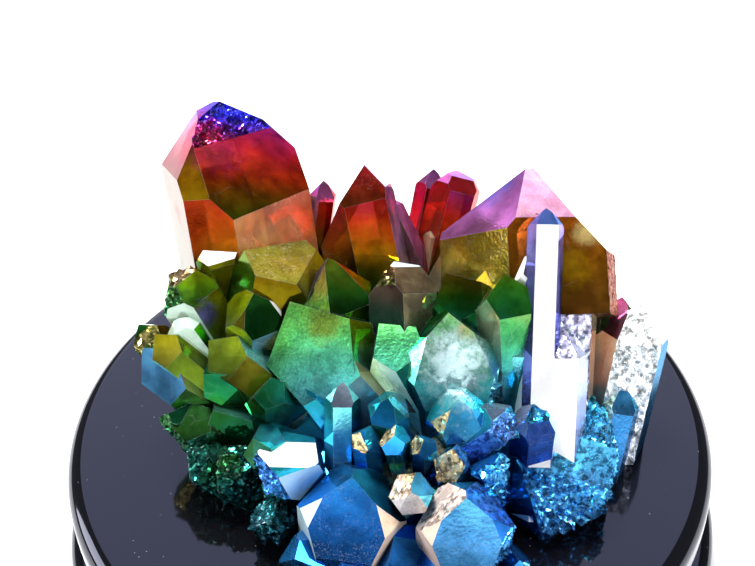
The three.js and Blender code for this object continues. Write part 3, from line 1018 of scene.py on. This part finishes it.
# %% Shade the film, but spare the light colours
light_spared = -0.85
frost_milk = 0.4
glare_from, glare_to = 0.5, 0.75
light_from, light_to = 0.25, 0.7
brightness = add_node(tree, "RGBToBW", (film,))
glaring = add_node(tree, "MapRange", (brightness, glare_from, glare_to), **smoothly)
light_colour = add_node(tree, "MapRange", (brightness, light_from, light_to), **smoothly)
milky_film = add_node(tree, "HueSaturation", {"Saturation": 0.75, "Value": 1.9, "Color": film})
share = add_node(tree, "Math", (own["frost"], frost_milk), operation="MULTIPLY")
surface = add_node(tree, "Mix", (share, film, milky_film), data_type="RGBA")
share = add_node(tree, "Math", (light_colour, light_spared, 1.0), operation="MULTIPLY_ADD")
surface = add_node(tree, "Mix", (share, surface, shading), data_type="RGBA",
                   blend_type="MULTIPLY")
print("nodes so far:", len(tree.nodes))

# %% Grains of the crust, and painted highlights on the edges
edge_highlight_share = 0.8
crusted = add_node(tree, "Math", (own["crust"], 0.0), operation="GREATER_THAN")
surface = add_node(tree, "Mix", (crusted, surface, pattern["crust grains"]), data_type="RGBA",
                   blend_type="MULTIPLY")
# Painted highlight: the edge flats are mixed towards a pale blue white.
share = add_node(tree, "Math", (own["edge"], edge_highlight_share), operation="MULTIPLY")
surface = add_node(tree, "Mix", (share, surface, linear("dfe4ff")), data_type="RGBA")
print("nodes so far:", len(tree.nodes))

# %% [markdown]
# ### Painted glints and cracks
# Growth marks catch the light in fine flecks, which lie in drifts, and healed cracks cross the
# quartz in crooked bright lines. Flecks of real geometry would be far too many, so the glints are
# painted: noise picks lighter flecks in the colour. The cracks are the borders between a Voronoi
# pattern's cells, which are bent by noise because they would be straight otherwise.

# %% Flecks of glitter, as painted glints
sparkle_range, sparkle_least = 0.7, 0.02
glitter = add_node(tree, "Math", (pattern["flecks"], pattern["flecked places"]),
                   operation="MULTIPLY")
share = add_node(tree, "Math", (own["sparkle"], sparkle_range, sparkle_least),
                 operation="MULTIPLY_ADD")
glitter = add_node(tree, "Math", (glitter, share), operation="MULTIPLY")
print("nodes so far:", len(tree.nodes))

# %% Healed cracks
crack_spacing, crack_width = 9 * MM, 0.015
crook_size, crook_reach = 5 * MM, 6 * MM
crook = add_node(tree, "TexNoise", (object_place, 1 / crook_size)).outputs["Color"]
crooked = add_node(tree, "VectorMath", (crook, (crook_reach,) * 3, object_place),
                   operation="MULTIPLY_ADD")
cracks = add_node(tree, "TexVoronoi", (crooked, 1 / crack_spacing), feature="DISTANCE_TO_EDGE")
cracks = add_node(tree, "MapRange", (cracks, crack_width, 0.0), **smoothly)
cracks = add_node(tree, "Math", (cracks, pattern["cracked places"]), operation="MULTIPLY")
glitter = add_node(tree, "Math", (glitter, cracks), operation="MAXIMUM")
# The flecks are painted glints; both they and the cracks are mixed towards a lighter screen of the
# film.
lighter = add_node(tree, "Mix", (1.0, milky_film, linear("a8a8a8")), data_type="RGBA",
                   blend_type="SCREEN")
surface = add_node(tree, "Mix", (glitter, surface, lighter), data_type="RGBA")
print("nodes so far:", len(tree.nodes))

# %% [markdown]
# ### Clear quartz, mirror and frost
# Light goes through clear quartz, and the film on it is partly a mirror. Covered, milky and
# glaring places let less light through, and the glaring ones and the edges are no mirror, because
# that would darken them. Frost roughens a face and gives it tiny pits. The pits are a bump, since
# they are a tenth of a millimetre deep and never reach the outline.

# %% How clear the quartz is
milk_from, milk_most = 16 * MM, 0.2
covered_share, glare_share = 0.35, 0.3
covered = add_node(tree, "Math", (own["sky_reflection"], tint["Alpha"]), operation="MAXIMUM")
covered = add_node(tree, "Math", (covered, own["edge"]), operation="MAXIMUM")
covered = add_node(tree, "Math", (covered, covered_share), operation="MULTIPLY")
milky = add_node(tree, "MapRange", (along, milk_from, 0.0, 0.0, milk_most), **smoothly)
clarity = add_node(tree, "Math", (pattern["veils"], milky), operation="SUBTRACT")
clarity = add_node(tree, "Math", (clarity, covered), operation="SUBTRACT")
glare = add_node(tree, "Math", (glaring, glare_share), operation="MULTIPLY")
clarity = add_node(tree, "Math", (clarity, glare), operation="SUBTRACT")
print("nodes so far:", len(tree.nodes))

# %% Mirror of the film
mirror_most = 0.55
unmirrored = add_node(tree, "Math", (glaring, own["edge"]), operation="MAXIMUM")
mirror = add_node(tree, "Math", (unmirrored, -mirror_most, mirror_most),
                  operation="MULTIPLY_ADD")
vivid = add_node(tree, "HueSaturation", {"Saturation": 1.2, "Value": 4.0, "Color": film})
print("nodes so far:", len(tree.nodes))

# %% Frost and pits
frost_roughness = 0.3
pit_size, pit_depth = 0.5 * MM, 0.08 * MM
pits_frosted, pits_smooth = 0.8, 0.04
dullness = add_node(tree, "Math", (own["frost"], frost_roughness, pattern["dull places"]),
                    operation="MULTIPLY_ADD")
pit_share = add_node(tree, "Math", (own["frost"], pits_frosted, pits_smooth),
                     operation="MULTIPLY_ADD")
pits = add_node(tree, "TexNoise", (object_place, 1 / pit_size, 3.0))
pitted = add_node(tree, "Bump", {"Strength": pit_share, "Distance": pit_depth, "Height": pits})
print("nodes so far:", len(tree.nodes))

# %% Put it all on the shader
shader.inputs["IOR"].default_value = 1.54
for socket, source in (
        ("Base Color", surface), ("Transmission Weight", clarity), ("Metallic", mirror),
        ("Roughness", dullness), ("Specular Tint", vivid), ("Normal", pitted)):
    tree.links.new(shown_output(source), shader.inputs[socket])
cluster.data.materials.append(quartz)
print("quartz nodes:", len(tree.nodes))
